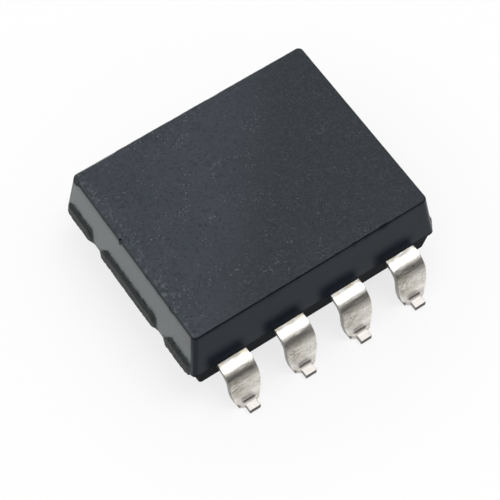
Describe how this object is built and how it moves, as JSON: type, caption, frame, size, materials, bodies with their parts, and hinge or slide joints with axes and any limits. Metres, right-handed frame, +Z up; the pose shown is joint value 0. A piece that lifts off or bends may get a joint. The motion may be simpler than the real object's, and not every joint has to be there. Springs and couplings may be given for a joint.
{
  "type": "optocoupler",
  "caption": "Wide-body surface-mount optocoupler: black drafted mould with gull-wing leads on two sides, an emitter facing a detector through a light guide inside.",
  "frame": {"origin": "on the seating plane under the middle of the body", "axes": "+X along the lead rows, from lead 1 to lead 4; +Y across the body, from the emitter's row to the detector's; +Z up"},
  "size_m": [0.0112, 0.012, 0.0043],
  "materials": {
    "black_mould": "matte moulded epoxy with fine speckle, smooth on the walls",
    "light_guide": "translucent white moulding",
    "tinned_lead": "tin plating, bright, lightly scratched on the bends",
    "bond_wire": "bright drawn wire",
    "emitter": "polished crystal",
    "detector": "polished crystal with a light-sensitive field",
    "die_attach": "cured conductive paste"
  },
  "bodies": {
    "root": {"outer_mould": "black_mould", "inner_mould": "light_guide", "lead_1": "tinned_lead", "lead_2": "tinned_lead", "lead_3": "tinned_lead", "lead_4": "tinned_lead", "lead_5": "tinned_lead", "lead_6": "tinned_lead", "lead_7": "tinned_lead", "lead_8": "tinned_lead", "emitter_die": "emitter", "emitter_attach": "die_attach", "emitter_wire": "bond_wire", "detector_die": "detector", "detector_attach": "die_attach", "supply_wire": "bond_wire", "enable_wire": "bond_wire", "output_wire": "bond_wire", "ground_wire": "bond_wire"}
  },
  "joints": []
}
